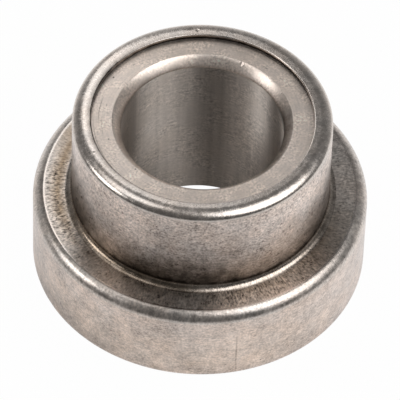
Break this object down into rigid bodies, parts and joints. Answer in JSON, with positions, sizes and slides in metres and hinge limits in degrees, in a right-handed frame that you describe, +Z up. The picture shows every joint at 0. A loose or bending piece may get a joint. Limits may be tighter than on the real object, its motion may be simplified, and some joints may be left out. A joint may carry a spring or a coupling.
{
  "type": "sleeve bearing",
  "caption": "Flanged steel sleeve bearing: a stepped outer sleeve with a wide flange and a narrower collar, and a free-turning inner ring with a plain shaft bore.",
  "frame": {"origin": "centre of the base, where the bearing's axis meets the surface it stands on", "axes": "+Z up along the bearing's axis, from the flange towards the collar's lip; +X and +Y are any two directions across it"},
  "size_m": [0.052, 0.052, 0.0307],
  "materials": {
    "tumbled_steel": "tumbled steel, mottled grey satin with polished edges",
    "ground_steel": "ground steel, smooth satin with fine scratches and small pits"
  },
  "bodies": {
    "sleeve": {"flanged_sleeve": "tumbled_steel"},
    "ring": {"inner_ring": "ground_steel"}
  },
  "joints": [
    {"name": "ring_spin", "type": "hinge", "parent": "sleeve", "child": "ring", "pos_m": [0, 0, 0.015], "axis": [0, 0, 1], "continuous": true}
  ]
}
